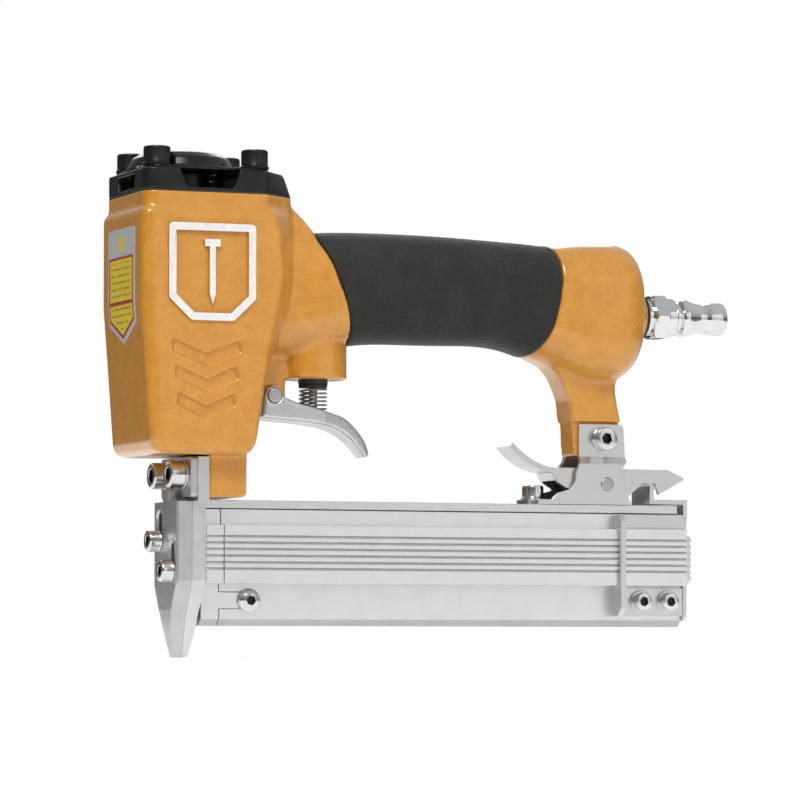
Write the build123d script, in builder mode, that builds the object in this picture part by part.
"""Small pneumatic brad nailer: cast body with a rubber grip, a side-loading magazine with a rear latch,
a sprung trigger and valve, and an air plug. Millimetres. +X points to the air plug, +Z up, and the origin
is the tip of the nose on the driver's axis."""

import os

from build123d import *

os.makedirs("parts", exist_ok=True)

# ---------------------------------------------------------------- driving dimensions
# Cast body, seen from the side (X, Z) and from above (X, Y).
BODY_HALF_WIDTH = 21.0
BODY_BOTTOM_Z = 63.4
BODY_SHOULDER_Z = 140.5
NECK_TOP_Z = 145.6
# height, front face X, rear end of the flat side X, how far the back stands behind that
BODY_SECTIONS = (
    (BODY_BOTTOM_Z, -12.6, 13.5, 3.0),
    (64.6, -15.0, 16.6, 3.2),
    (67.5, -16.0, 18.2, 3.4),
    (84.0, -17.2, 20.6, 3.8),
    (97.0, -18.2, 22.8, 5.0),
    (111.0, -19.3, 26.3, 6.6),
    (120.0, -19.3, 27.4, 7.0),
    (132.0, -19.3, 26.8, 7.2),
    (139.0, -19.3, 25.2, 8.0),
    (BODY_SHOULDER_Z, -18.4, 24.4, 8.6),
)
BODY_REAR_HALF_WIDTH = 11.5
CAP_FRONT_X = -18.1
CAP_SIDE_END_X = 22.3
CAP_REAR_X = 32.2
CAP_HALF_WIDTH = 20.0
CAP_REAR_HALF_WIDTH = 10.5
GASKET_THICKNESS = 0.4
CAP_BOTTOM_Z = NECK_TOP_Z + GASKET_THICKNESS
CAP_TOP_Z = 152.9
PLATE_THICKNESS = 1.0
SCREW_TOP_Z = 160.0
CAP_SCREW_X = (-12.15, 20.4)
CAP_SCREW_Y = 13.0

# Handle: X, bottom Z, top Z, half width of each cross-section.
HANDLE_SECTIONS = (
    (24.0, 96.0, 134.0, 13.5),
    (40.0, 96.5, 134.9, 14.0),
    (52.0, 99.2, 135.6, 15.0),
    (66.0, 100.9, 135.8, 15.6),
    (90.0, 101.1, 135.4, 15.6),
    (108.0, 100.6, 134.6, 15.6),
    (120.0, 97.2, 133.9, 15.4),
    (130.0, 93.0, 134.4, 15.8),
    (139.0, 90.0, 135.3, 16.8),
    (147.8, 90.0, 135.3, 16.8),
    (153.0, 92.6, 133.8, 15.7),
    (156.4, 98.0, 128.4, 12.6),
    (157.6, 103.5, 121.6, 8.8),
)
SLEEVE_THICKNESS = 2.4
# the sleeve's bowed ends in X, Z, from the top down
SLEEVE_FRONT = ((42.4, 136.0), (43.8, 132.0), (48.1, 121.6), (52.3, 109.6), (54.6, 98.0))
SLEEVE_REAR = ((125.4, 136.0), (126.3, 129.0), (126.2, 122.0), (123.0, 107.0), (117.0, 96.0))
HANDLE_BORE_R = 10.5
HANDLE_AXIS_Z = 117.0
LEG_FRONT_X = 134.3
LEG_REAR_X = 151.0
LEG_BOTTOM_Z = 65.6
LEG_STEP_Z = 76.8
LEG_HALF_WIDTH = 6.4
LEG_FOOT_HALF_WIDTH = 5.0
BLOCK_REAR_X = 17.6
BLOCK_BOTTOM_Z = 50.2
BLOCK_HALF_WIDTH = 14.0

# Cylinder, piston and head valve, on the Z axis.
LINER_R = 13.0
LINER_BORE_R = 11.1
LINER_BOTTOM_Z = 70.0
LINER_TOP_Z = 137.0
CHAMBER_R = 14.8
CHAMBER_BOTTOM_Z = 98.0
BUMPER_BOTTOM_Z = 67.5
BUMPER_TOP_Z = 82.0
PISTON_BOTTOM_Z = 124.5
PISTON_TOP_Z = 134.0
PISTON_HUB_BOTTOM_Z = 116.0
BLADE_TIP_Z = 43.2
BLADE_THICKNESS = 1.0
BLADE_WIDTH = 1.6
HEAD_VALVE_BOTTOM_Z = 138.4
HEAD_VALVE_TOP_Z = 142.0
HEAD_VALVE_STEM_R = 4.5
SPRING_SEAT_Z = 151.0

# Trigger and its valve.
TRIGGER_PIN_X = 29.7
TRIGGER_PIN_Z = 83.1
TRIGGER_PIN_R = 2.4
TRIGGER_HALF_WIDTH = 7.3
TRIGGER_INNER = 5.3
TAB_HALF_WIDTH = 5.0
VALVE_X = 45.2
VALVE_BOSS_Z = 88.5
VALVE_R = 4.75
STEM_R = 1.35
STEM_FOOT_Z = 77.0
RING_BOTTOM_Z = 86.0
RING_TOP_Z = 87.1

# Nose.
SEAM_X = 0.6
GUIDE_REAR_X = 5.2
NOSE_FRONT_X = -4.6
NOSE_HALF_WIDTH = 11.0
NOSE_SHOULDER_Z = 49.0
FLANGE_HALF_WIDTH = 14.2
FLANGE_TOP_Z = 62.9
RETAINER_FRONT_X = -1.0
RETAINER_REAR_X = 1.4
UPPER_SCREW_Y = 8.1
UPPER_SCREW_Z = 57.4
LOWER_SCREWS = ((-6.0, 27.1), (6.0, 36.8))  # Y, Z
NAIL_SLOT_HALF = 0.85
NAIL_SLOT_BOTTOM_Z = 13.5
NAIL_SLOT_TOP_Z = 42.8

# Magazine.
FRONT_SECTION_X = (5.3, 11.2)
COVER_X = (11.4, 172.2)
RAIL_BOTTOM_Z = 47.0
RAIL_TOP_Z = 49.6
RAIL_HALF_WIDTH = 8.2
RAIL_REAR_X = 170.0
CORE_REAR_X = 150.0
CORE_HALF_WIDTH = 3.2
MAG_BOTTOM_Z = 10.0
LOWER_BAND_Z = (12.1, 23.3)
RIB_BAND_TOP_Z = 41.7
LOWER_BAND_HALF = 5.9
RIB_BAND_HALF = 11.0
RIB_GROOVES_Z = (27.9, 29.9, 32.0, 34.1, 36.1, 38.1)
RIB_GROOVE_DEPTH = 0.6
RIB_GROOVE_HALF = 0.45
UPPER_BAND_HALF = 7.4
SIDE_SCREW_X = 21.3
SIDE_SCREW_Z = 18.0
SIDE_SLOT_HEIGHT = 5.6
ROD_Y = 7.6
ROD_Z = 32.0
ROD_R = 1.2
POCKET_Y = (5.2, 9.8)
POCKET_Z = (25.5, 38.5)
BRACKET_SCREW_X = (156.9, 166.6)
BRACKET_SCREW_Z = 18.2
END_PLATE_X = (172.3, 173.6)

# Latch.
LATCH_PIN_X = 144.6
LATCH_PIN_Z = 56.4
LATCH_PIN_R = 2.2
SHEET = 1.5
LEVER_HALF_WIDTH = 6.9
CHEEK_INNER = 7.2
LATCH_SCREW_X = 144.0
LATCH_SCREW_Z = 71.2
LATCH_BASE_SCREW_X = 121.9

# Air plug, on a line along X.
PLUG_Z = 112.0
PLUG_BOSS_X = 160.4
PLUG_BOSS_R = 7.9
PLUG_BORE_R = 3.2
PLUG_THREAD_R = 6.4


def finish(part, name):
    """Label a finished piece and write its STEP file."""
    part.label = name
    export_step(part, f"parts/{name}.step")


def socket_screw(head_r, head_length, shank_r, shank_length, hex_flats):
    """A socket head cap screw whose head's underside is at the origin and whose shank runs along -Z."""
    with BuildPart() as screw:
        Cylinder(head_r, head_length, align=(Align.CENTER, Align.CENTER, Align.MIN))
        chamfer(screw.edges().group_by(Axis.Z)[-1], 0.4)
        Cylinder(shank_r, shank_length, align=(Align.CENTER, Align.CENTER, Align.MAX))
        with BuildSketch(Plane.XY.offset(head_length)):
            RegularPolygon(hex_flats / 2, 6, major_radius=False)
        extrude(amount=-0.6 * head_length, mode=Mode.SUBTRACT)
    return screw.part


def washer(outer_r, inner_r, thickness):
    """A flat washer standing on the XY plane."""
    with BuildPart() as ring:
        Cylinder(outer_r, thickness, align=(Align.CENTER, Align.CENTER, Align.MIN))
        Hole(inner_r)
    return ring.part


def o_ring(radius, section_r):
    """An O-ring around the Z axis."""
    with BuildPart() as ring:
        Torus(radius, section_r)
    return ring.part


def coil_spring(radius, wire_r, length, turns):
    """A helical spring that stands on the XY plane."""
    lead = length - 2 * wire_r
    with BuildPart() as spring:
        with BuildLine(Plane.XY.offset(wire_r)) as path:
            Helix(pitch=lead / turns, height=lead, radius=radius)
        with BuildSketch(Plane(path.line @ 0, z_dir=path.line % 0)):
            Circle(wire_r)
        sweep(is_frenet=True)
    return spring.part


# ---------------------------------------------------------------- handle envelope, shared by body and sleeve
def handle_solid(inset, sections):
    """The handle as a loft of rounded cross-sections, drawn in by the inset."""
    with BuildPart() as handle:
        for x, bottom, top, half_width in sections:
            middle = (bottom + top) / 2
            with BuildSketch(Plane(origin=(x, 0, middle), x_dir=(0, 1, 0), z_dir=(1, 0, 0))):
                width = 2 * (half_width - inset)
                height = top - bottom - 2 * inset
                RectangleRounded(width, height, 0.44 * min(width, height))
        loft()
    return handle.part


def sleeve_zone():
    """The slab between the sleeve's two slanting ends."""
    above = (SLEEVE_FRONT[0][0] - 1.0, 140.0), (SLEEVE_REAR[0][0] - 0.6, 140.0)
    below = (SLEEVE_REAR[-1][0] - 3.0, 90.0), (SLEEVE_FRONT[-1][0] + 0.6, 90.0)
    with BuildPart() as zone:
        with BuildSketch(Plane.XZ):
            with BuildLine():
                Line(*above)
                Line(above[1], SLEEVE_REAR[0])
                Spline(*SLEEVE_REAR)
                Line(SLEEVE_REAR[-1], below[0])
                Line(*below)
                Line(below[1], SLEEVE_FRONT[-1])
                Spline(*reversed(SLEEVE_FRONT))
                Line(SLEEVE_FRONT[0], above[0])
            make_face()
        extrude(amount=30, both=True)
    return zone.part


handle_outer = handle_solid(0, HANDLE_SECTIONS)
handle_core = handle_solid(SLEEVE_THICKNESS, HANDLE_SECTIONS)
grip_zone = sleeve_zone()

with BuildPart() as grip_sleeve:
    add(handle_outer)
    add(handle_core, mode=Mode.SUBTRACT)
    add(grip_zone, mode=Mode.INTERSECT)
finish(grip_sleeve.part, "grip_sleeve")


# ---------------------------------------------------------------- cast body
def plan_section(z, front_x, side_end_x, half_width, rear_half, rear_step, corner):
    """The body seen from above at one height: rounded front corners and a narrower back."""
    with BuildSketch(Plane.XY.offset(z)) as plan:
        rear_x = side_end_x + rear_step
        Polygon(
            (front_x, -half_width),
            (side_end_x, -half_width),
            (rear_x, -rear_half),
            (rear_x, rear_half),
            (side_end_x, half_width),
            (front_x, half_width),
            align=None,
        )
        fillet(plan.vertices().group_by(Axis.X)[0], corner)
        fillet(plan.vertices().group_by(Axis.X)[-1], corner)
    return plan.sketch


with BuildPart() as body_housing:
    for z, front_x, side_end_x, rear_step in BODY_SECTIONS:
        inset = {BODY_BOTTOM_Z: 1.8, BODY_SHOULDER_Z: 0.9}.get(z, 0.0)
        half = BODY_HALF_WIDTH - inset
        add(plan_section(z, front_x, side_end_x, half, BODY_REAR_HALF_WIDTH, rear_step, 3.2))
    loft(ruled=True)
    neck = plan_section(
        BODY_SHOULDER_Z,
        CAP_FRONT_X,
        CAP_SIDE_END_X,
        CAP_HALF_WIDTH,
        CAP_REAR_HALF_WIDTH,
        CAP_REAR_X + 1.8 - CAP_SIDE_END_X,
        4.0,
    )
    extrude(neck, amount=NECK_TOP_Z - BODY_SHOULDER_Z)
    # the gusset behind the neck, over the handle's root
    with BuildSketch(Plane.XZ):
        Polygon(
            (24.0, 120.0),
            (24.0, 143.5),
            (34.0, 143.5),
            (38.6, 139.2),
            (42.6, 134.8),
            (42.6, 120.0),
            align=None,
        )
    extrude(amount=9.5, both=True)
    add(handle_outer)
    # valve boss under the handle, and the tab that the trigger hangs on
    with BuildSketch(Plane.XY.offset(VALVE_BOSS_Z)):
        with Locations((45.0, 0)):
            RectangleRounded(21.6, 20.0, 9.4)
    extrude(amount=16.0)
    with BuildSketch(Plane.XZ):
        Polygon((18.0, 78.6), (30.6, 79.0), (34.2, 82.6), (34.2, 104.0), (18.0, 104.0), align=None)
    extrude(amount=TAB_HALF_WIDTH, both=True)
    # leg down to the magazine
    with BuildSketch(Plane.XZ):
        Polygon(
            (118.0, 99.0),
            (124.4, 96.6),
            (129.3, 91.0),
            (132.2, 84.4),
            (133.6, LEG_STEP_Z),
            (150.4, LEG_STEP_Z),
            (149.0, 88.0),
            (150.0, 96.0),
            (150.0, 104.0),
            (118.0, 104.0),
            align=None,
        )
    extrude(amount=LEG_HALF_WIDTH, both=True)
    with BuildSketch(Plane.XZ):
        Polygon(
            (133.6, LEG_STEP_Z + 0.5),
            (LEG_FRONT_X, LEG_BOTTOM_Z),
            (LEG_REAR_X, LEG_BOTTOM_Z),
            (150.4, LEG_STEP_Z + 0.5),
            align=None,
        )
    extrude(amount=LEG_FOOT_HALF_WIDTH, both=True)
    # boss for the air plug
    with BuildSketch(Plane.YZ.offset(148.0)):
        with Locations((0, PLUG_Z)):
            Circle(PLUG_BOSS_R)
    extrude(amount=PLUG_BOSS_X - 148.0)
    fillet(body_housing.faces().sort_by(Axis.X)[-1].edges(), 1.0)
    # block behind the nose
    with BuildSketch(Plane.XZ):
        Polygon(
            (GUIDE_REAR_X + 0.1, BLOCK_BOTTOM_Z),
            (BLOCK_REAR_X - 1.0, BLOCK_BOTTOM_Z),
            (BLOCK_REAR_X, BLOCK_BOTTOM_Z + 1.0),
            (BLOCK_REAR_X + 0.3, 68.0),
            (GUIDE_REAR_X + 0.1, 68.0),
            align=None,
        )
    extrude(amount=BLOCK_HALF_WIDTH, both=True)
    # room for the sleeve, which leaves the handle's core
    add(grip_zone.intersect(handle_outer), mode=Mode.SUBTRACT)
    add(handle_core)
    # cylinder chamber, liner seat, bumper seat and the driver's way out
    with Locations((0, 0, CHAMBER_BOTTOM_Z)):
        Cylinder(CHAMBER_R, 60, align=(Align.CENTER, Align.CENTER, Align.MIN), mode=Mode.SUBTRACT)
    with Locations((0, 0, BUMPER_BOTTOM_Z)):
        Cylinder(LINER_R + 0.05, 40, align=(Align.CENTER, Align.CENTER, Align.MIN), mode=Mode.SUBTRACT)
    with Locations((0, 0, BODY_BOTTOM_Z - 1)):
        Box(3.0, 3.6, 8.0, align=(Align.CENTER, Align.CENTER, Align.MIN), mode=Mode.SUBTRACT)
    # air reservoir in the handle, open to the chamber in front and to the plug behind
    with BuildSketch(Plane.YZ.offset(8.0)):
        with Locations((0, HANDLE_AXIS_Z)):
            Circle(HANDLE_BORE_R)
    extrude(amount=138.0, mode=Mode.SUBTRACT)
    with BuildSketch(Plane.YZ.offset(140.0)):
        with Locations((0, PLUG_Z)):
            Circle(PLUG_THREAD_R + 0.05)
    extrude(amount=24.0, mode=Mode.SUBTRACT)
    # valve bore, trigger pin hole, cap screw holes, nose screw holes and the latch screw's hole
    with Locations((VALVE_X, 0, VALVE_BOSS_Z - 1)):
        Cylinder(VALVE_R + 0.05, 24, align=(Align.CENTER, Align.CENTER, Align.MIN), mode=Mode.SUBTRACT)
    with Locations(Location((TRIGGER_PIN_X, 0, TRIGGER_PIN_Z), (90, 0, 0))):
        Cylinder(TRIGGER_PIN_R + 0.03, 40, mode=Mode.SUBTRACT)
    for x in CAP_SCREW_X:
        for y in (-CAP_SCREW_Y, CAP_SCREW_Y):
            with Locations((x, y, NECK_TOP_Z)):
                Cylinder(2.1, 2 * 12.2, mode=Mode.SUBTRACT)
    for y in (-UPPER_SCREW_Y, UPPER_SCREW_Y):
        with Locations(Location((GUIDE_REAR_X, y, UPPER_SCREW_Z), (0, 90, 0))):
            Cylinder(2.1, 2 * 10.6, mode=Mode.SUBTRACT)
    with Locations(Location((LATCH_SCREW_X, 0, LATCH_SCREW_Z), (90, 0, 0))):
        Cylinder(2.1, 40, mode=Mode.SUBTRACT)
    # three V grooves under the emblem, on both sides
    for side in (-1, 1):
        for apex_z, reach, rise in ((92.8, 11.4, 4.6), (84.6, 10.4, 4.6), (76.4, 9.6, 4.2)):
            with BuildSketch(Plane.XZ.offset(-side * (BODY_HALF_WIDTH - 0.6))):
                Polygon(
                    (1.9 - reach, apex_z + rise - 1.9),
                    (1.9, apex_z - 2.3),
                    (1.9 + reach, apex_z + rise - 1.9),
                    (1.9 + reach, apex_z + rise + 1.9),
                    (1.9, apex_z + 2.3),
                    (1.9 - reach, apex_z + rise + 1.9),
                    align=None,
                )
            extrude(amount=-side * 5.0, mode=Mode.SUBTRACT)
finish(body_housing.part, "body_housing")

# ---------------------------------------------------------------- cap, gasket, exhaust plate and their screws
def cap_plan(z, grow):
    """The cap's outline at one height."""
    return plan_section(
        z,
        CAP_FRONT_X,
        CAP_SIDE_END_X,
        CAP_HALF_WIDTH,
        CAP_REAR_HALF_WIDTH,
        CAP_REAR_X + grow - CAP_SIDE_END_X,
        4.0,
    )


with BuildPart() as cap_gasket:
    extrude(cap_plan(NECK_TOP_Z, 1.7), amount=GASKET_THICKNESS)
    with Locations((0, 0, NECK_TOP_Z)):
        Cylinder(CHAMBER_R + 0.3, 4, mode=Mode.SUBTRACT)
    for x in CAP_SCREW_X:
        for y in (-CAP_SCREW_Y, CAP_SCREW_Y):
            with Locations((x, y, NECK_TOP_Z)):
                Cylinder(2.7, 4, mode=Mode.SUBTRACT)
finish(cap_gasket.part, "cap_gasket")

with BuildPart() as cylinder_cap:
    add(cap_plan(CAP_BOTTOM_Z, 1.7))
    add(cap_plan(CAP_TOP_Z - 0.9, -0.6))
    add(cap_plan(CAP_TOP_Z, -1.4))
    loft(ruled=True)
    # exhaust chamber round the centre boss
    with BuildSketch(Plane.XY.offset(CAP_TOP_Z)):
        with Locations((1.0, 0)):
            RectangleRounded(33.5, 35.0, 4.0)
        Circle(9.6, mode=Mode.SUBTRACT)
        for x in CAP_SCREW_X:
            for y in (-CAP_SCREW_Y, CAP_SCREW_Y):
                with Locations((x, y)):
                    Circle(4.9, mode=Mode.SUBTRACT)
    extrude(amount=-5.4, mode=Mode.SUBTRACT)
    # exhaust windows through both sides and the front
    with BuildSketch(Plane.XZ):
        Polygon((-4.4, 147.0), (11.2, 147.0), (13.8, 154.0), (-7.2, 154.0), align=None)
    extrude(amount=30, both=True, mode=Mode.SUBTRACT)
    with BuildSketch(Plane.YZ):
        Polygon((-8.0, 147.2), (8.0, 147.2), (9.0, 151.4), (-9.0, 151.4), align=None)
    extrude(amount=-30, mode=Mode.SUBTRACT)
    with Locations((0, 0, CAP_BOTTOM_Z)):
        Cylinder(9.6, 6.9, align=(Align.CENTER, Align.CENTER, Align.MIN))
    with Locations((0, 0, CAP_BOTTOM_Z)):
        Cylinder(
            8.0,
            SPRING_SEAT_Z - CAP_BOTTOM_Z,
            align=(Align.CENTER, Align.CENTER, Align.MIN),
            mode=Mode.SUBTRACT,
        )
        Cylinder(HEAD_VALVE_STEM_R + 1.2, 6.9, align=(Align.CENTER, Align.CENTER, Align.MIN))
        Cylinder(
            HEAD_VALVE_STEM_R + 0.06,
            6.9,
            align=(Align.CENTER, Align.CENTER, Align.MIN),
            mode=Mode.SUBTRACT,
        )
    for x in CAP_SCREW_X:
        for y in (-CAP_SCREW_Y, CAP_SCREW_Y):
            with Locations((x, y, CAP_BOTTOM_Z)):
                Cylinder(2.6, 30, mode=Mode.SUBTRACT)
finish(cylinder_cap.part, "cylinder_cap")

PLATE_TOP_Z = CAP_TOP_Z + PLATE_THICKNESS
DOME_TOP_Z = 159.2
with BuildPart() as exhaust_plate:
    with BuildSketch(Plane.XY.offset(CAP_TOP_Z)):
        with Locations((4.1, 0)):
            RectangleRounded(41.4, 35.0, 4.6)
    extrude(amount=PLATE_THICKNESS)
    with BuildSketch(Plane.XZ):
        Polygon(
            (0, CAP_TOP_Z),
            (17.2, CAP_TOP_Z),
            (17.0, PLATE_TOP_Z + 0.4),
            (15.6, DOME_TOP_Z - 2.0),
            (13.2, DOME_TOP_Z - 0.4),
            (11.0, DOME_TOP_Z),
            (0, DOME_TOP_Z - 0.4),
            align=None,
        )
    revolve(axis=Axis.Z)
    with Locations((0, 0, CAP_TOP_Z - 1)):
        Cylinder(11.4, 3.4, align=(Align.CENTER, Align.CENTER, Align.MIN), mode=Mode.SUBTRACT)
    for x in CAP_SCREW_X:
        for y in (-CAP_SCREW_Y, CAP_SCREW_Y):
            with Locations((x, y, PLATE_TOP_Z)):
                Cylinder(5.4, 8, align=(Align.CENTER, Align.CENTER, Align.MIN), mode=Mode.SUBTRACT)
                Cylinder(2.6, 8, mode=Mode.SUBTRACT)
finish(exhaust_plate.part, "exhaust_plate")

CAP_WASHER_THICKNESS = 0.9
CAP_HEAD_Z = PLATE_TOP_Z + CAP_WASHER_THICKNESS
with BuildPart() as cap_washers:
    for x in CAP_SCREW_X:
        for y in (-CAP_SCREW_Y, CAP_SCREW_Y):
            with Locations((x, y, PLATE_TOP_Z)):
                add(washer(4.6, 2.6, CAP_WASHER_THICKNESS))
finish(cap_washers.part, "cap_washers")

with BuildPart() as cap_screws:
    for x in CAP_SCREW_X:
        for y in (-CAP_SCREW_Y, CAP_SCREW_Y):
            with Locations((x, y, CAP_HEAD_Z)):
                add(socket_screw(4.25, SCREW_TOP_Z - CAP_HEAD_Z, 2.05, 20.0, 4.0))
finish(cap_screws.part, "cap_screws")

# ---------------------------------------------------------------- cylinder, piston and head valve
LINER_RING_Z = (74.0, 94.0)
RING_SECTION_R = 0.66
with BuildPart() as cylinder_liner:
    with Locations((0, 0, LINER_BOTTOM_Z)):
        Cylinder(LINER_R, LINER_TOP_Z - LINER_BOTTOM_Z, align=(Align.CENTER, Align.CENTER, Align.MIN))
        Cylinder(
            LINER_BORE_R,
            LINER_TOP_Z - LINER_BOTTOM_Z,
            align=(Align.CENTER, Align.CENTER, Align.MIN),
            mode=Mode.SUBTRACT,
        )
    for z in LINER_RING_Z:
        with Locations((0, 0, z)):
            add(washer(LINER_R + 1, LINER_R - 1.3, 2.0), mode=Mode.SUBTRACT)
    # return air holes
    with BuildSketch(Plane.XZ):
        with Locations((0, 104.0)):
            Circle(1.2)
    extrude(amount=20, both=True, mode=Mode.SUBTRACT)
finish(cylinder_liner.part, "cylinder_liner")

with BuildPart() as liner_o_rings:
    for z in LINER_RING_Z:
        with Locations((0, 0, z + 1.0)):
            add(o_ring(LINER_R - RING_SECTION_R + 0.02, RING_SECTION_R))
finish(liner_o_rings.part, "liner_o_rings")

with BuildPart() as bumper:
    with Locations((0, 0, BUMPER_BOTTOM_Z)):
        Cylinder(LINER_R - 0.2, 2.4, align=(Align.CENTER, Align.CENTER, Align.MIN))
        Cylinder(
            LINER_BORE_R - 0.3,
            BUMPER_TOP_Z - BUMPER_BOTTOM_Z,
            align=(Align.CENTER, Align.CENTER, Align.MIN),
        )
    fillet(bumper.edges().group_by(Axis.Z)[-1], 2.0)
    with Locations((0, 0, BUMPER_BOTTOM_Z + 1.2)):
        Cylinder(5.4, 40, align=(Align.CENTER, Align.CENTER, Align.MIN), mode=Mode.SUBTRACT)
    with Locations((0, 0, BUMPER_BOTTOM_Z)):
        Box(3.0, 3.6, 6.0, mode=Mode.SUBTRACT)
finish(bumper.part, "bumper")

PISTON_R = LINER_BORE_R - 0.06
PISTON_RING_Z = 128.6
ROLL_PIN_Z = 119.6
with BuildPart() as piston:
    with Locations((0, 0, PISTON_BOTTOM_Z)):
        Cylinder(PISTON_R, PISTON_TOP_Z - PISTON_BOTTOM_Z, align=(Align.CENTER, Align.CENTER, Align.MIN))
    with Locations((0, 0, PISTON_RING_Z)):
        add(washer(PISTON_R + 1, PISTON_R - 1.6, 2.4), mode=Mode.SUBTRACT)
    with Locations((0, 0, PISTON_TOP_Z)):
        Cylinder(7.0, 4.0, mode=Mode.SUBTRACT)
    with Locations((0, 0, PISTON_HUB_BOTTOM_Z)):
        Cylinder(4.6, 12.0, align=(Align.CENTER, Align.CENTER, Align.MIN))
        Box(
            BLADE_THICKNESS + 0.1,
            BLADE_WIDTH + 4.1,
            8.2,
            align=(Align.CENTER, Align.CENTER, Align.MIN),
            mode=Mode.SUBTRACT,
        )
    with Locations(Location((0, 0, ROLL_PIN_Z), (0, 90, 0))):
        Cylinder(1.0, 20, mode=Mode.SUBTRACT)
finish(piston.part, "piston")

with BuildPart() as piston_o_ring:
    with Locations((0, 0, PISTON_RING_Z + 1.2)):
        add(o_ring(PISTON_R - 0.75, 0.74))
finish(piston_o_ring.part, "piston_o_ring")

with BuildPart() as driver_blade:
    with Locations((0, 0, BLADE_TIP_Z)):
        Box(BLADE_THICKNESS, BLADE_WIDTH, 124.0 - BLADE_TIP_Z, align=(Align.CENTER, Align.CENTER, Align.MIN))
    with Locations((0, 0, PISTON_HUB_BOTTOM_Z + 0.5)):
        Box(BLADE_THICKNESS, BLADE_WIDTH + 3.8, 7.4, align=(Align.CENTER, Align.CENTER, Align.MIN))
    with Locations(Location((0, 0, ROLL_PIN_Z), (0, 90, 0))):
        Cylinder(1.0, 20, mode=Mode.SUBTRACT)
finish(driver_blade.part, "driver_blade")

with BuildPart() as piston_roll_pin:
    with Locations(Location((0, 0, ROLL_PIN_Z), (0, 90, 0))):
        Cylinder(0.97, 9.0)
        Cylinder(0.45, 9.0, mode=Mode.SUBTRACT)
finish(piston_roll_pin.part, "piston_roll_pin")

with BuildPart() as head_valve_seal:
    with Locations((0, 0, LINER_TOP_Z + 0.05)):
        add(washer(13.4, 10.4, HEAD_VALVE_BOTTOM_Z - LINER_TOP_Z - 0.05))
finish(head_valve_seal.part, "head_valve_seal")

with BuildPart() as head_valve:
    with Locations((0, 0, HEAD_VALVE_BOTTOM_Z)):
        Cylinder(14.3, HEAD_VALVE_TOP_Z - HEAD_VALVE_BOTTOM_Z, align=(Align.CENTER, Align.CENTER, Align.MIN))
        Cylinder(HEAD_VALVE_STEM_R, 10.4, align=(Align.CENTER, Align.CENTER, Align.MIN))
    with Locations((0, 0, HEAD_VALVE_BOTTOM_Z - 1)):
        Cylinder(2.6, 14, align=(Align.CENTER, Align.CENTER, Align.MIN), mode=Mode.SUBTRACT)
finish(head_valve.part, "head_valve")

with BuildPart() as head_valve_spring:
    with Locations((0, 0, HEAD_VALVE_TOP_Z + 0.05)):
        add(coil_spring(6.85, 0.55, SPRING_SEAT_Z - HEAD_VALVE_TOP_Z - 0.1, 4.0))
finish(head_valve_spring.part, "head_valve_spring")

# ---------------------------------------------------------------- trigger and valve
# the finger's side, and the side away from it, of the hooked end
TRIGGER_BELLY = ((47.2, 73.8), (52.2, 72.2), (56.3, 69.7), (59.3, 66.6), (61.2, 63.8))
TRIGGER_BACK = ((63.2, 64.6), (62.2, 67.9), (59.9, 71.3), (56.2, 74.8), (50.6, 77.5))
TRIGGER_CHANNEL_REAR_X = 51.6
with BuildPart() as trigger:
    with BuildSketch(Plane.XZ):
        with BuildLine():
            Polyline(
                (32.9, 82.6),
                (31.6, 85.4),
                (29.6, 86.3),
                (27.2, 85.2),
                (26.2, 83.0),
                (25.2, 75.9),
                (31.7, 75.3),
                (40.2, 74.8),
                TRIGGER_BELLY[0],
            )
            Spline(*TRIGGER_BELLY, tangents=((1, -0.2), (0.5, -1)))
            Line(TRIGGER_BELLY[-1], TRIGGER_BACK[0])
            Spline(*TRIGGER_BACK, tangents=((-0.2, 1), (-1, 0.25)))
            Polyline(TRIGGER_BACK[-1], (43.0, 79.6), (37.0, 81.0), (32.9, 82.6))
        make_face()
    extrude(amount=TRIGGER_HALF_WIDTH, both=True)
    # channel that is open at the top, for the tab and the valve spring
    with BuildSketch(Plane.XZ):
        Polygon(
            (20.0, 77.5),
            (33.0, 77.3),
            (41.0, 76.4),
            (TRIGGER_CHANNEL_REAR_X, 75.4),
            (TRIGGER_CHANNEL_REAR_X, 90.0),
            (20.0, 90.0),
            align=None,
        )
    extrude(amount=TRIGGER_INNER, both=True, mode=Mode.SUBTRACT)
    # narrower towards the tip
    with BuildSketch(Plane.XY.offset(60.0)):
        for side in (-1, 1):
            Polygon(
                (46.0, side * 9.0),
                (46.0, side * TRIGGER_HALF_WIDTH),
                (64.0, side * 3.4),
                (64.0, side * 9.0),
                align=None,
            )
    extrude(amount=30, mode=Mode.SUBTRACT)
    with Locations(Location((TRIGGER_PIN_X, 0, TRIGGER_PIN_Z), (90, 0, 0))):
        Cylinder(TRIGGER_PIN_R + 0.05, 40, mode=Mode.SUBTRACT)
finish(trigger.part, "trigger")

with BuildPart() as trigger_pin:
    with Locations(Location((TRIGGER_PIN_X, 0, TRIGGER_PIN_Z), (90, 0, 0))):
        Cylinder(TRIGGER_PIN_R, 2 * TRIGGER_HALF_WIDTH + 0.5)
    chamfer(trigger_pin.edges().filter_by(GeomType.CIRCLE), 0.3)
finish(trigger_pin.part, "trigger_pin")

BUSHING_TOP_Z = 104.0
with BuildPart() as valve_bushing:
    with Locations((VALVE_X, 0, RING_TOP_Z + 0.05)):
        Cylinder(VALVE_R, BUSHING_TOP_Z - RING_TOP_Z, align=(Align.CENTER, Align.CENTER, Align.MIN))
        Cylinder(STEM_R + 0.06, 40, mode=Mode.SUBTRACT)
    for z in (91.0, 99.0):
        with Locations((VALVE_X, 0, z)):
            add(washer(VALVE_R + 1, VALVE_R - 1.1, 1.6), mode=Mode.SUBTRACT)
finish(valve_bushing.part, "valve_bushing")

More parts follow.
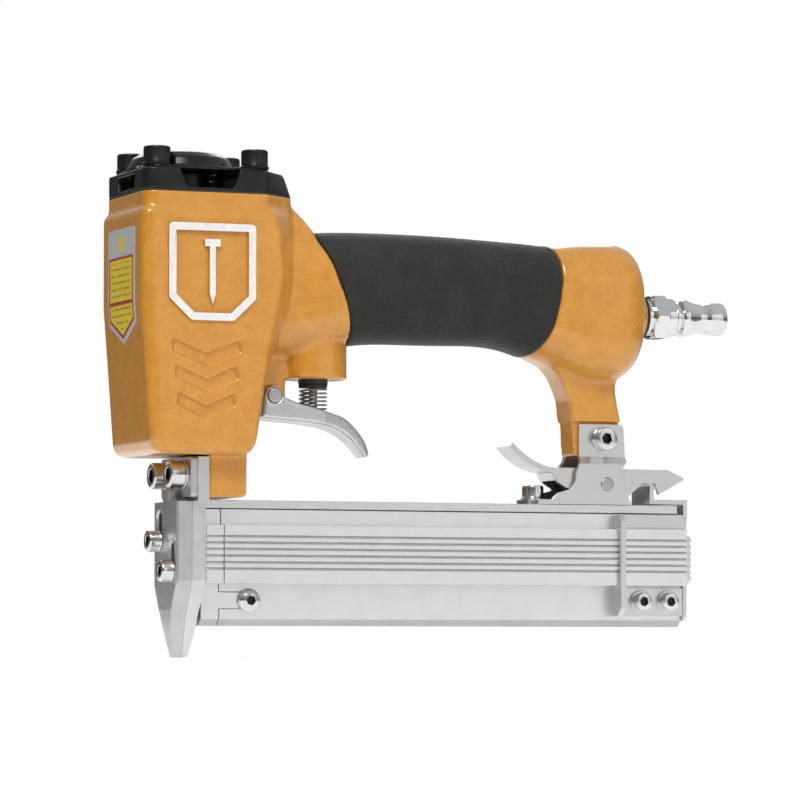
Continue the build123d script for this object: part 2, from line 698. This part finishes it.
with BuildPart() as valve_o_rings:
    for z in (91.0, 99.0):
        with Locations((VALVE_X, 0, z + 0.8)):
            add(o_ring(VALVE_R - 0.5, 0.52))
finish(valve_o_rings.part, "valve_o_rings")

with BuildPart() as valve_retaining_ring:
    with Locations((VALVE_X, 0, RING_BOTTOM_Z)):
        add(washer(4.6, STEM_R + 0.1, RING_TOP_Z - RING_BOTTOM_Z))
finish(valve_retaining_ring.part, "valve_retaining_ring")

with BuildPart() as valve_stem:
    with Locations((VALVE_X, 0, STEM_FOOT_Z)):
        Cylinder(STEM_R, 26.6, align=(Align.CENTER, Align.CENTER, Align.MIN))
        Cylinder(4.4, 0.8, align=(Align.CENTER, Align.CENTER, Align.MIN))
    with Locations((VALVE_X, 0, STEM_FOOT_Z + 27.4)):
        Cylinder(3.0, 1.6, align=(Align.CENTER, Align.CENTER, Align.MIN))
    with Locations((VALVE_X, 0, STEM_FOOT_Z + 26.0)):
        Cylinder(STEM_R, 2.0, align=(Align.CENTER, Align.CENTER, Align.MIN))
finish(valve_stem.part, "valve_stem")

with BuildPart() as trigger_spring:
    with Locations((VALVE_X, 0, STEM_FOOT_Z + 0.85)):
        add(coil_spring(4.2, 0.32, RING_BOTTOM_Z - STEM_FOOT_Z - 0.9, 6.0))
finish(trigger_spring.part, "trigger_spring")

# ---------------------------------------------------------------- nose
def nose_plate(front_x, rear_x):
    """A nose plate seen from the front: straight sides, a shoulder, and a tapering tip."""
    with BuildPart() as plate:
        with BuildSketch(Plane.YZ.offset(front_x)):
            Polygon(
                (-1.2, 0),
                (1.2, 0),
                (4.7, 12.8),
                (NOSE_HALF_WIDTH, 24.0),
                (NOSE_HALF_WIDTH, NOSE_SHOULDER_Z),
                (-NOSE_HALF_WIDTH, NOSE_SHOULDER_Z),
                (-NOSE_HALF_WIDTH, 24.0),
                (-4.7, 12.8),
                align=None,
            )
        extrude(amount=rear_x - front_x)
    return plate.part


with BuildPart() as nose_guide:
    add(nose_plate(SEAM_X, GUIDE_REAR_X))
    with BuildSketch(Plane.YZ.offset(RETAINER_REAR_X)):
        with Locations((0, (NOSE_SHOULDER_Z + FLANGE_TOP_Z) / 2)):
            Rectangle(2 * FLANGE_HALF_WIDTH, FLANGE_TOP_Z - NOSE_SHOULDER_Z)
    extrude(amount=GUIDE_REAR_X - RETAINER_REAR_X)
    # the rear face slopes in towards the tip
    with BuildSketch(Plane.XZ):
        Polygon(
            (2.5, -1.0),
            (2.5, 0),
            (4.5, 11.0),
            (GUIDE_REAR_X, 22.0),
            (9.0, 22.0),
            (9.0, -1.0),
            align=None,
        )
    extrude(amount=20, both=True, mode=Mode.SUBTRACT)
    # nail slot through the plate
    with BuildSketch(Plane.YZ.offset(SEAM_X - 1)):
        with Locations((0, (NAIL_SLOT_BOTTOM_Z + NAIL_SLOT_TOP_Z) / 2)):
            Rectangle(2 * NAIL_SLOT_HALF, NAIL_SLOT_TOP_Z - NAIL_SLOT_BOTTOM_Z)
    extrude(amount=10, mode=Mode.SUBTRACT)
    for y in (-UPPER_SCREW_Y, UPPER_SCREW_Y):
        with Locations(Location((3, y, UPPER_SCREW_Z), (0, 90, 0))):
            Cylinder(2.7, 10, mode=Mode.SUBTRACT)
    with Locations(*[Location((3, y, z), (0, 90, 0)) for y, z in LOWER_SCREWS]):
        Cylinder(1.7, 10, mode=Mode.SUBTRACT)
finish(nose_guide.part, "nose_guide")

with BuildPart() as nose_retainer:
    with BuildSketch(Plane.YZ.offset(RETAINER_FRONT_X)):
        with Locations((0, (50.2 + FLANGE_TOP_Z) / 2)):
            RectangleRounded(2 * FLANGE_HALF_WIDTH, FLANGE_TOP_Z - 50.2, 1.2)
    extrude(amount=RETAINER_REAR_X - RETAINER_FRONT_X - 0.05)
    Box(1.4, 2.2, 140, mode=Mode.SUBTRACT)
    for y in (-UPPER_SCREW_Y, UPPER_SCREW_Y):
        with Locations(Location((0, y, UPPER_SCREW_Z), (0, 90, 0))):
            Cylinder(2.7, 10, mode=Mode.SUBTRACT)
finish(nose_retainer.part, "nose_retainer")

with BuildPart() as nose_cover:
    add(nose_plate(NOSE_FRONT_X, SEAM_X - 0.05))
    # tongue between the upper screws
    with BuildSketch(Plane.YZ.offset(NOSE_FRONT_X)):
        with Locations((0, NOSE_SHOULDER_Z + 1.5)):
            RectangleRounded(6.0, 6.2, 1.2)
    extrude(amount=2.2)
    # the front face slopes back to the tip
    with BuildSketch(Plane.XZ):
        Polygon(
            (-2.4, -1.0),
            (-2.4, 0),
            (-4.3, 11.0),
            (NOSE_FRONT_X, 15.0),
            (-9.0, 15.0),
            (-9.0, -1.0),
            align=None,
        )
    extrude(amount=20, both=True, mode=Mode.SUBTRACT)
    # the driver's groove, open at the tip and the top
    with Locations((0, 0, -1)):
        Box(
            2 * (SEAM_X),
            2 * NAIL_SLOT_HALF + 0.1,
            60,
            align=(Align.CENTER, Align.CENTER, Align.MIN),
            mode=Mode.SUBTRACT,
        )
    # keyhole slots over the lower screws
    for y, z in LOWER_SCREWS:
        with BuildSketch(Plane.YZ.offset(NOSE_FRONT_X - 1)):
            with Locations((y, z + 3.4)):
                SlotOverall(11.4, 4.6, rotation=90)
        extrude(amount=8, mode=Mode.SUBTRACT)
    edges_to_round = nose_cover.edges().filter_by(Axis.Z).group_by(Axis.X)[0]
    chamfer(edges_to_round, 0.7)
finish(nose_cover.part, "nose_cover")

UPPER_WASHER = 0.9
with BuildPart() as nose_upper_washers:
    for y in (-UPPER_SCREW_Y, UPPER_SCREW_Y):
        with Locations(Location((RETAINER_FRONT_X, y, UPPER_SCREW_Z), (0, -90, 0))):
            add(washer(4.6, 2.6, UPPER_WASHER))
finish(nose_upper_washers.part, "nose_upper_washers")

with BuildPart() as nose_upper_screws:
    for y in (-UPPER_SCREW_Y, UPPER_SCREW_Y):
        with Locations(Location((RETAINER_FRONT_X - UPPER_WASHER, y, UPPER_SCREW_Z), (0, -90, 0))):
            add(socket_screw(4.2, 4.8, 2.05, 16.5, 4.0))
finish(nose_upper_screws.part, "nose_upper_screws")

with BuildPart() as nose_lower_screws:
    for y, z in LOWER_SCREWS:
        with Locations(Location((NOSE_FRONT_X, y, z), (0, -90, 0))):
            add(socket_screw(3.5, 4.0, 1.65, 9.4, 3.0))
finish(nose_lower_screws.part, "nose_lower_screws")


# ---------------------------------------------------------------- magazine
def magazine_outline():
    """The magazine's outer section in Y, Z: chamfered foot, lower band, ribbed band, upper band."""
    half = [(3.4, MAG_BOTTOM_Z), (LOWER_BAND_HALF, LOWER_BAND_Z[0]), (LOWER_BAND_HALF, LOWER_BAND_Z[1])]
    half.append((RIB_BAND_HALF, LOWER_BAND_Z[1]))
    for groove_z in RIB_GROOVES_Z:
        half.append((RIB_BAND_HALF, groove_z - RIB_GROOVE_HALF))
        half.append((RIB_BAND_HALF - RIB_GROOVE_DEPTH, groove_z))
        half.append((RIB_BAND_HALF, groove_z + RIB_GROOVE_HALF))
    half.append((RIB_BAND_HALF, RIB_BAND_TOP_Z))
    half.append((UPPER_BAND_HALF, RIB_BAND_TOP_Z))
    half.append((UPPER_BAND_HALF, RAIL_BOTTOM_Z - 0.3))
    return half + [(-y, z) for y, z in reversed(half)]


with BuildPart() as magazine_core:
    with BuildSketch(Plane.YZ.offset(FRONT_SECTION_X[0])):
        with Locations((0, (RAIL_BOTTOM_Z + RAIL_TOP_Z) / 2)):
            Rectangle(2 * RAIL_HALF_WIDTH, RAIL_TOP_Z - RAIL_BOTTOM_Z)
    extrude(amount=RAIL_REAR_X - FRONT_SECTION_X[0])
    with BuildSketch(Plane.YZ.offset(FRONT_SECTION_X[0])):
        with Locations((0, (11.5 + RAIL_BOTTOM_Z) / 2)):
            Rectangle(2 * CORE_HALF_WIDTH, RAIL_BOTTOM_Z - 11.5)
        with Locations((0, 44.9)):
            Rectangle(9.6, 1.6)
        # channel for the strip of nails, open to one side
        slot_middle = (NAIL_SLOT_BOTTOM_Z + NAIL_SLOT_TOP_Z) / 2
        slot_width = CORE_HALF_WIDTH + NAIL_SLOT_HALF + 1
        with Locations((slot_width / 2 - NAIL_SLOT_HALF, slot_middle)):
            Rectangle(slot_width, NAIL_SLOT_TOP_Z - NAIL_SLOT_BOTTOM_Z, mode=Mode.SUBTRACT)
    extrude(amount=CORE_REAR_X - FRONT_SECTION_X[0])
    with Locations(Location((SIDE_SCREW_X, -CORE_HALF_WIDTH, SIDE_SCREW_Z), (90, 0, 0))):
        Cylinder(1.7, 4.6, mode=Mode.SUBTRACT)
    with Locations((LATCH_BASE_SCREW_X, 0, RAIL_TOP_Z)):
        Cylinder(1.7, 7.0, mode=Mode.SUBTRACT)
finish(magazine_core.part, "magazine_core")

CORE_GAP = 0.25


def core_passage(gap):
    """The core's section, in a sketch's own axes, grown by a gap all round."""
    with BuildSketch() as passage:
        with Locations((0, (11.5 + RAIL_BOTTOM_Z) / 2)):
            Rectangle(2 * (CORE_HALF_WIDTH + gap), RAIL_BOTTOM_Z - 11.5 + 2 * gap)
        with Locations((0, 44.9)):
            Rectangle(9.6 + 2 * gap, 1.6 + 2 * gap)
    return passage.sketch


with BuildPart() as magazine_front:
    with BuildSketch(Plane.YZ.offset(FRONT_SECTION_X[0])):
        Polygon(*magazine_outline(), align=None)
        add(core_passage(0.03), mode=Mode.SUBTRACT)
    extrude(amount=FRONT_SECTION_X[1] - FRONT_SECTION_X[0])
    # tongue that fills the cover's slot up to the side screw
    with BuildSketch(Plane.XZ.offset(CORE_HALF_WIDTH + 0.05)):
        with Locations(((SIDE_SCREW_X + FRONT_SECTION_X[0]) / 2, SIDE_SCREW_Z)):
            Rectangle(SIDE_SCREW_X - FRONT_SECTION_X[0], SIDE_SLOT_HEIGHT - 0.4)
        with Locations((SIDE_SCREW_X, SIDE_SCREW_Z)):
            Circle(SIDE_SLOT_HEIGHT / 2 - 0.2)
            Circle(1.75, mode=Mode.SUBTRACT)
    extrude(amount=LOWER_BAND_HALF - CORE_HALF_WIDTH - 0.05)
finish(magazine_front.part, "magazine_front")

with BuildPart() as magazine_cover:
    with BuildSketch(Plane.YZ.offset(COVER_X[0])):
        Polygon(*magazine_outline(), align=None)
        add(core_passage(CORE_GAP), mode=Mode.SUBTRACT)
        # the strip that closes the nail channel's open side
        with Locations((2.3, (NAIL_SLOT_BOTTOM_Z + NAIL_SLOT_TOP_Z) / 2)):
            Rectangle(2.9, NAIL_SLOT_TOP_Z - NAIL_SLOT_BOTTOM_Z - 2 * CORE_GAP)
        # side pockets, and the slit that joins the pusher's pocket to the channel
        for side in (-1, 1):
            with Locations((side * (POCKET_Y[0] + POCKET_Y[1]) / 2, ROD_Z)):
                Rectangle(POCKET_Y[1] - POCKET_Y[0], POCKET_Z[1] - POCKET_Z[0], mode=Mode.SUBTRACT)
        with Locations((3.3, ROD_Z)):
            Rectangle(5.6, 4.2, mode=Mode.SUBTRACT)
    extrude(amount=COVER_X[1] - COVER_X[0])
    # slot for the side screw, open at the front
    with BuildSketch(Plane.XZ):
        with Locations((SIDE_SCREW_X / 2 + 2.0, SIDE_SCREW_Z)):
            Rectangle(SIDE_SCREW_X - 4.0, SIDE_SLOT_HEIGHT)
        with Locations((SIDE_SCREW_X, SIDE_SCREW_Z)):
            Circle(SIDE_SLOT_HEIGHT / 2)
    extrude(amount=20, mode=Mode.SUBTRACT)
    for x in BRACKET_SCREW_X:
        with Locations(Location((x, 0, BRACKET_SCREW_Z), (90, 0, 0))):
            Cylinder(2.3, 40, mode=Mode.SUBTRACT)
finish(magazine_cover.part, "magazine_cover")

with BuildPart() as magazine_side_screw:
    with BuildSketch(Plane.XZ.offset(LOWER_BAND_HALF + 0.05)):
        with Locations((SIDE_SCREW_X, SIDE_SCREW_Z)):
            Circle(3.8)
    extrude(amount=2.4)
    fillet(magazine_side_screw.edges().group_by(Axis.Y)[0], 1.7)
    with BuildSketch(Plane.XZ.offset(LOWER_BAND_HALF + 1.15)):
        with Locations((SIDE_SCREW_X, SIDE_SCREW_Z)):
            RegularPolygon(1.25, 6, major_radius=False)
    extrude(amount=3, mode=Mode.SUBTRACT)
    with BuildSketch(Plane.XZ.offset(LOWER_BAND_HALF + 0.05)):
        with Locations((SIDE_SCREW_X, SIDE_SCREW_Z)):
            Circle(1.65)
    extrude(amount=-4.3)
finish(magazine_side_screw.part, "magazine_side_screw")

PUSHER_BLADE_X = (2.0, 20.0)
PUSHER_SHOE_X = (13.0, 25.0)
with BuildPart() as pusher:
    with BuildSketch(Plane.YZ.offset(PUSHER_BLADE_X[0])):
        with Locations((0, 28.1)):
            Rectangle(1.2, 28.4)
    extrude(amount=PUSHER_BLADE_X[1] - PUSHER_BLADE_X[0])
    with BuildSketch(Plane.YZ.offset(PUSHER_SHOE_X[0])):
        with Locations((3.5, ROD_Z)):
            Rectangle(7.0, 3.4)
        with Locations((ROD_Y - 0.1, ROD_Z)):
            Rectangle(3.8, 12.0)
    extrude(amount=PUSHER_SHOE_X[1] - PUSHER_SHOE_X[0])
    with Locations(Location((20, ROD_Y, ROD_Z), (0, 90, 0))):
        Cylinder(ROD_R + 0.06, 40, mode=Mode.SUBTRACT)
finish(pusher.part, "pusher")

END_BLOCK_X = (CORE_REAR_X + 0.6, COVER_X[1])
with BuildPart() as magazine_end_block:
    with BuildSketch(Plane.YZ.offset(END_BLOCK_X[0])):
        with Locations((0, 29.0)):
            Rectangle(2 * (CORE_HALF_WIDTH + 0.1), 34.6)
        with Locations((3.0, 29.0)):
            Rectangle(4.4, 34.6, mode=Mode.SUBTRACT)
    extrude(amount=END_BLOCK_X[1] - END_BLOCK_X[0])
    for x in BRACKET_SCREW_X:
        with Locations(Location((x, 0, BRACKET_SCREW_Z), (90, 0, 0))):
            Cylinder(1.65, 40, mode=Mode.SUBTRACT)
finish(magazine_end_block.part, "magazine_end_block")

with BuildPart() as pusher_rod:
    with BuildSketch(Plane.YZ.offset(11.8)):
        with Locations((ROD_Y, ROD_Z)):
            Circle(ROD_R)
    extrude(amount=END_PLATE_X[0] - 0.1 - 11.8)
finish(pusher_rod.part, "pusher_rod")

PUSHER_SPRING_END = END_PLATE_X[0] - 0.1
with BuildPart() as pusher_spring:
    with Locations(Location((PUSHER_SHOE_X[1] + 0.1, ROD_Y, ROD_Z), (0, 90, 0))):
        add(coil_spring(1.72, 0.42, PUSHER_SPRING_END - PUSHER_SHOE_X[1] - 0.2, 40))
finish(pusher_spring.part, "pusher_spring")

with BuildPart() as magazine_end_plate:
    with BuildSketch(Plane.YZ.offset(END_PLATE_X[0])):
        with Locations((1.5, 29.0)):
            RectangleRounded(18.0, 34.0, 1.5)
    extrude(amount=END_PLATE_X[1] - END_PLATE_X[0])
    # strap over the rail's end, and the tab that the latch holds
    with BuildSketch(Plane.XZ):
        Polygon(
            (END_PLATE_X[0], 42.0),
            (END_PLATE_X[1], 42.0),
            (END_PLATE_X[1] + 0.6, 47.0),
            (END_PLATE_X[1] + 0.6, 51.6),
            (162.1, 51.6),
            (162.1, 56.0),
            (160.6, 56.0),
            (160.6, 50.1),
            (END_PLATE_X[1] - 0.9, 50.1),
            (END_PLATE_X[1] - 0.9, 47.0),
            align=None,
        )
    extrude(amount=7.0, both=True)
finish(magazine_end_plate.part, "magazine_end_plate")

with BuildPart() as finger_pad:
    with BuildSketch(Plane.YZ.offset(END_PLATE_X[1])):
        with Locations((0, 32.0)):
            RectangleRounded(15.0, 15.6, 1.2)
    extrude(amount=1.3)
    with BuildSketch(Plane.YZ.offset(END_PLATE_X[1] + 1.3)):
        with GridLocations(0, 2.1, 1, 7):
            with Locations((0, 32.0)):
                Rectangle(14.0, 1.1)
    extrude(amount=0.6)
finish(finger_pad.part, "finger_pad")

BRACKET_X = (147.6, COVER_X[1])
LOWER_PLATE_Z = (13.5, 22.6)
UPPER_PLATE_Z = (42.3, 46.3)
with BuildPart() as end_bracket:
    for side in (-1, 1):
        # plate on the lower band, plate on the upper band
        with BuildSketch(Plane.XZ.offset(side * LOWER_BAND_HALF)):
            with Locations((sum(BRACKET_X) / 2, sum(LOWER_PLATE_Z) / 2)):
                Rectangle(BRACKET_X[1] - BRACKET_X[0], LOWER_PLATE_Z[1] - LOWER_PLATE_Z[0])
        extrude(amount=side * SHEET)
        with BuildSketch(Plane.XZ.offset(side * UPPER_BAND_HALF)):
            with Locations((sum(BRACKET_X) / 2, sum(UPPER_PLATE_Z) / 2)):
                Rectangle(BRACKET_X[1] - BRACKET_X[0], UPPER_PLATE_Z[1] - UPPER_PLATE_Z[0])
        extrude(amount=side * SHEET)
        # flange that stands out round the ribbed band
        with BuildSketch(Plane.YZ.offset(BRACKET_X[0])):
            Polygon(
                (side * LOWER_BAND_HALF, 13.5),
                (side * 10.2, 13.5),
                (side * 12.8, 16.0),
                (side * 12.8, 44.4),
                (side * 11.0, 46.3),
                (side * UPPER_BAND_HALF, 46.3),
                (side * UPPER_BAND_HALF, RIB_BAND_TOP_Z + 0.1),
                (side * (RIB_BAND_HALF + 0.1), RIB_BAND_TOP_Z + 0.1),
                (side * (RIB_BAND_HALF + 0.1), LOWER_BAND_Z[1] - 0.1),
                (side * LOWER_BAND_HALF, LOWER_BAND_Z[1] - 0.1),
                align=None,
            )
        extrude(amount=1.8)
        for x in BRACKET_SCREW_X:
            with Locations(Location((x, 0, BRACKET_SCREW_Z), (90, 0, 0))):
                Cylinder(2.3, 40, mode=Mode.SUBTRACT)
finish(end_bracket.part, "end_bracket")

BRACKET_WASHER = 0.9
with BuildPart() as end_bracket_washers:
    for side in (-1, 1):
        for x in BRACKET_SCREW_X:
            seat = side * (LOWER_BAND_HALF + SHEET)
            with Locations(Location((x, seat, BRACKET_SCREW_Z), (-90 * side, 0, 0))):
                add(washer(3.7, 2.2, BRACKET_WASHER))
finish(end_bracket_washers.part, "end_bracket_washers")

with BuildPart() as end_bracket_screws:
    for side in (-1, 1):
        for x in BRACKET_SCREW_X:
            seat = side * (LOWER_BAND_HALF + SHEET + BRACKET_WASHER)
            with Locations(Location((x, seat, BRACKET_SCREW_Z), (-90 * side, 0, 0))):
                add(socket_screw(2.9, 2.4, 1.6, 7.0, 2.5))
finish(end_bracket_screws.part, "end_bracket_screws")

# ---------------------------------------------------------------- latch
BASE_Z = (RAIL_TOP_Z + 0.1, RAIL_TOP_Z + 1.6)
EAR_OUTER = LEG_FOOT_HALF_WIDTH + 0.05 + SHEET
CHEEK_OUTER = CHEEK_INNER + SHEET
JOG_Z = (62.9, 65.4)
with BuildPart() as latch_bracket:
    with BuildSketch(Plane.XY.offset(BASE_Z[0])):
        with Locations((139.5, 0)):
            RectangleRounded(28.0, 2 * CHEEK_OUTER, 1.5)
        with Locations((124.0, 0)):
            RectangleRounded(12.4, 9.8, 1.5)
    extrude(amount=BASE_Z[1] - BASE_Z[0])
    # each side is bent: cheek at the lever, jog, ear on the leg
    for side in (-1, 1):
        with BuildSketch(Plane.YZ.offset(120.0)):
            Polygon(
                (side * CHEEK_INNER, BASE_Z[0]),
                (side * CHEEK_OUTER, BASE_Z[0]),
                (side * CHEEK_OUTER, JOG_Z[0]),
                (side * EAR_OUTER, JOG_Z[1]),
                (side * EAR_OUTER, 76.0),
                (side * (EAR_OUTER - SHEET), 76.0),
                (side * (EAR_OUTER - SHEET), JOG_Z[1] - 0.4),
                (side * CHEEK_INNER, JOG_Z[0] - 0.4),
                align=None,
            )
        extrude(amount=34)
    # side view trims both cheeks
    with BuildSketch(Plane.XZ) as side_view:
        Polygon(
            (117.0, BASE_Z[0]),
            (153.5, BASE_Z[0]),
            (151.4, 53.6),
            (150.4, 62.0),
            (152.0, JOG_Z[0] + 1.2),
            (151.4, 76.0),
            (135.5, 76.0),
            (135.5, JOG_Z[0] + 1.0),
            (133.5, 60.0),
            (133.3, 57.4),
            (131.6, 54.6),
            (127.2, 53.4),
            (125.0, BASE_Z[1]),
            (117.0, BASE_Z[1]),
            align=None,
        )
        fillet(side_view.vertices().group_by(Axis.Y)[-1], 1.5)
    extrude(amount=20, both=True, mode=Mode.INTERSECT)
    with Locations(Location((LATCH_PIN_X, 0, LATCH_PIN_Z), (90, 0, 0))):
        Cylinder(LATCH_PIN_R + 0.03, 40, mode=Mode.SUBTRACT)
    with Locations(Location((LATCH_SCREW_X, 0, LATCH_SCREW_Z), (90, 0, 0))):
        Cylinder(2.2, 40, mode=Mode.SUBTRACT)
    with Locations((LATCH_BASE_SCREW_X, 0, BASE_Z[0])):
        Cylinder(2.2, 8, mode=Mode.SUBTRACT)
finish(latch_bracket.part, "latch_bracket")

with BuildPart() as latch_base_washer:
    with Locations((LATCH_BASE_SCREW_X, 0, BASE_Z[1])):
        add(washer(3.9, 2.2, 0.7))
finish(latch_base_washer.part, "latch_base_washer")

with BuildPart() as latch_base_screw:
    with Locations((LATCH_BASE_SCREW_X, 0, BASE_Z[1] + 0.7)):
        add(socket_screw(3.5, 4.0, 1.65, 5.2, 3.0))
finish(latch_base_screw.part, "latch_base_screw")

with BuildPart() as latch_bracket_screw:
    with Locations(Location((LATCH_SCREW_X, -EAR_OUTER, LATCH_SCREW_Z), (90, 0, 0))):
        add(socket_screw(3.85, 3.6, 2.05, 16.0, 3.0))
finish(latch_bracket_screw.part, "latch_bracket_screw")

with BuildPart() as latch_bracket_nut:
    with BuildSketch(Plane.XZ.offset(-EAR_OUTER)):
        with Locations((LATCH_SCREW_X, LATCH_SCREW_Z)):
            RegularPolygon(3.5, 6, major_radius=False)
            Circle(2.1, mode=Mode.SUBTRACT)
    extrude(amount=-3.2)
finish(latch_bracket_nut.part, "latch_bracket_nut")

with BuildPart() as latch_pin:
    with Locations(Location((LATCH_PIN_X, 0, LATCH_PIN_Z), (90, 0, 0))):
        Cylinder(LATCH_PIN_R, 2 * CHEEK_OUTER + 0.6)
    chamfer(latch_pin.edges().filter_by(GeomType.CIRCLE), 0.3)
finish(latch_pin.part, "latch_pin")

with BuildPart() as latch_lever:
    # channel: a web on top and a wall on each side
    with BuildSketch(Plane.XZ):
        Polygon(
            (130.6, 55.2),
            (128.0, 56.8),
            (126.2, 60.0),
            (127.4, 61.6),
            (167.1, 61.4),
            (172.9, 58.9),
            (172.9, 58.2),
            (164.0, 53.3),
            (162.7, 56.9),
            (158.2, 56.9),
            (153.0, 52.6),
            (138.0, 52.6),
            align=None,
        )
    extrude(amount=LEVER_HALF_WIDTH, both=True)
    with BuildSketch(Plane.XZ):
        Polygon((127.6, 50.0), (127.6, 60.1), (166.6, 59.9), (171.0, 58.2), (180.0, 50.0), align=None)
    extrude(amount=LEVER_HALF_WIDTH - SHEET, both=True, mode=Mode.SUBTRACT)
    # finger tab
    with BuildSketch(Plane.XZ):
        with BuildLine():
            Spline((128.5, 61.6), (122.5, 62.6), (116.6, 65.8), (112.2, 69.6))
            Line((112.2, 69.6), (111.2, 68.4))
            Spline((111.2, 68.4), (115.6, 64.2), (121.8, 61.0), (128.5, 60.1))
            Line((128.5, 60.1), (128.5, 61.6))
        make_face()
    extrude(amount=6.0, both=True)
    with Locations(Location((LATCH_PIN_X, 0, LATCH_PIN_Z), (90, 0, 0))):
        Cylinder(LATCH_PIN_R + 0.05, 40, mode=Mode.SUBTRACT)
finish(latch_lever.part, "latch_lever")

with BuildPart() as latch_spring:
    with Locations(Location((LATCH_PIN_X, 4.0, LATCH_PIN_Z), (90, 0, 0))):
        add(coil_spring(2.85, 0.4, 8.0, 6.0))
finish(latch_spring.part, "latch_spring")

# ---------------------------------------------------------------- air plug
PLUG_SHOULDER_X = 161.5
PLUG_HEX_X = (163.4, 168.5)
PLUG_TIP_X = 190.4
with BuildPart() as air_plug:
    with BuildSketch(Plane.XY):
        with BuildLine():
            Polyline(
                (151.0, PLUG_BORE_R),
                (151.0, PLUG_THREAD_R),
                (PLUG_SHOULDER_X, PLUG_THREAD_R),
                (PLUG_SHOULDER_X, 6.2),
                (PLUG_HEX_X[0], 6.2),
                (PLUG_HEX_X[0], 7.0),
                (PLUG_HEX_X[1], 7.0),
                (PLUG_HEX_X[1], 6.2),
                (172.0, 6.2),
                (172.6, 5.0),
                (173.6, 5.0),
                (174.4, 6.0),
            )
            Spline((174.4, 6.0), (176.0, 6.2), (178.2, 5.7), (181.0, 4.8), (182.8, 4.7), (184.6, 5.3))
            Polyline(
                (184.6, 5.3),
                (PLUG_TIP_X - 0.7, 5.3),
                (PLUG_TIP_X, 4.6),
                (PLUG_TIP_X, PLUG_BORE_R),
                (151.0, PLUG_BORE_R),
            )
        make_face()
    revolve(axis=Axis.X)
    with BuildSketch(Plane.YZ.offset(PLUG_HEX_X[0])):
        RegularPolygon(7.0, 6, major_radius=False, rotation=30)
        Circle(6.1, mode=Mode.SUBTRACT)
    extrude(amount=PLUG_HEX_X[1] - PLUG_HEX_X[0])
plug = air_plug.part.moved(Location((0, 0, PLUG_Z)))
finish(plug, "air_plug")

with BuildPart() as plug_seal:
    with Locations(Location((PLUG_BOSS_X + 0.1, 0, PLUG_Z), (0, 90, 0))):
        add(washer(6.9, PLUG_THREAD_R + 0.05, 0.8))
finish(plug_seal.part, "plug_seal")

# ---------------------------------------------------------------- emblem and label
EMBLEM_THICKNESS = 0.8
with BuildPart() as emblem:
    # raised frame with clipped lower corners, and a plain nail in it, on both sides of the body
    for side in (-1, 1):
        with BuildSketch(Plane.XZ.offset(side * BODY_HALF_WIDTH)) as face:
            Polygon(
                (-11.0, 135.6),
                (17.9, 135.6),
                (17.9, 112.0),
                (10.5, 105.0),
                (-3.6, 105.0),
                (-11.0, 112.0),
                align=None,
            )
            fillet(face.vertices(), 1.6)
            offset(amount=-2.5, mode=Mode.SUBTRACT)
        extrude(amount=side * EMBLEM_THICKNESS)
        with BuildSketch(Plane.XZ.offset(side * BODY_HALF_WIDTH)):
            Polygon(
                (0.8, 130.6),
                (6.1, 130.6),
                (6.1, 128.2),
                (4.5, 128.2),
                (4.5, 113.4),
                (3.45, 110.0),
                (2.4, 113.4),
                (2.4, 128.2),
                (0.8, 128.2),
                align=None,
            )
        extrude(amount=side * EMBLEM_THICKNESS)
finish(emblem.part, "emblem")

LABEL_HALF_WIDTH = 13.0
LABEL_THICKNESS = 0.2
LABEL_TOP_Z = 134.8
LABEL_POINT_Z = 98.4
with BuildPart() as front_label:
    # a strip that follows the body's front, which slopes back below Z 111
    with BuildSketch(Plane.XZ):
        Polygon(
            (-19.3, LABEL_TOP_Z),
            (-19.3, 111.0),
            (-18.2, 97.0),
            (-18.2 - LABEL_THICKNESS, 97.0),
            (-19.3 - LABEL_THICKNESS, 111.0),
            (-19.3 - LABEL_THICKNESS, LABEL_TOP_Z),
            align=None,
        )
    extrude(amount=LABEL_HALF_WIDTH, both=True)
    with BuildSketch(Plane.YZ) as outline:
        Polygon(
            (-LABEL_HALF_WIDTH, LABEL_TOP_Z),
            (LABEL_HALF_WIDTH, LABEL_TOP_Z),
            (LABEL_HALF_WIDTH, 104.6),
            (0.0, LABEL_POINT_Z),
            (-LABEL_HALF_WIDTH, 104.6),
            align=None,
        )
        fillet(outline.vertices(), 1.6)
    extrude(amount=-30, mode=Mode.INTERSECT)
finish(front_label.part, "front_label")
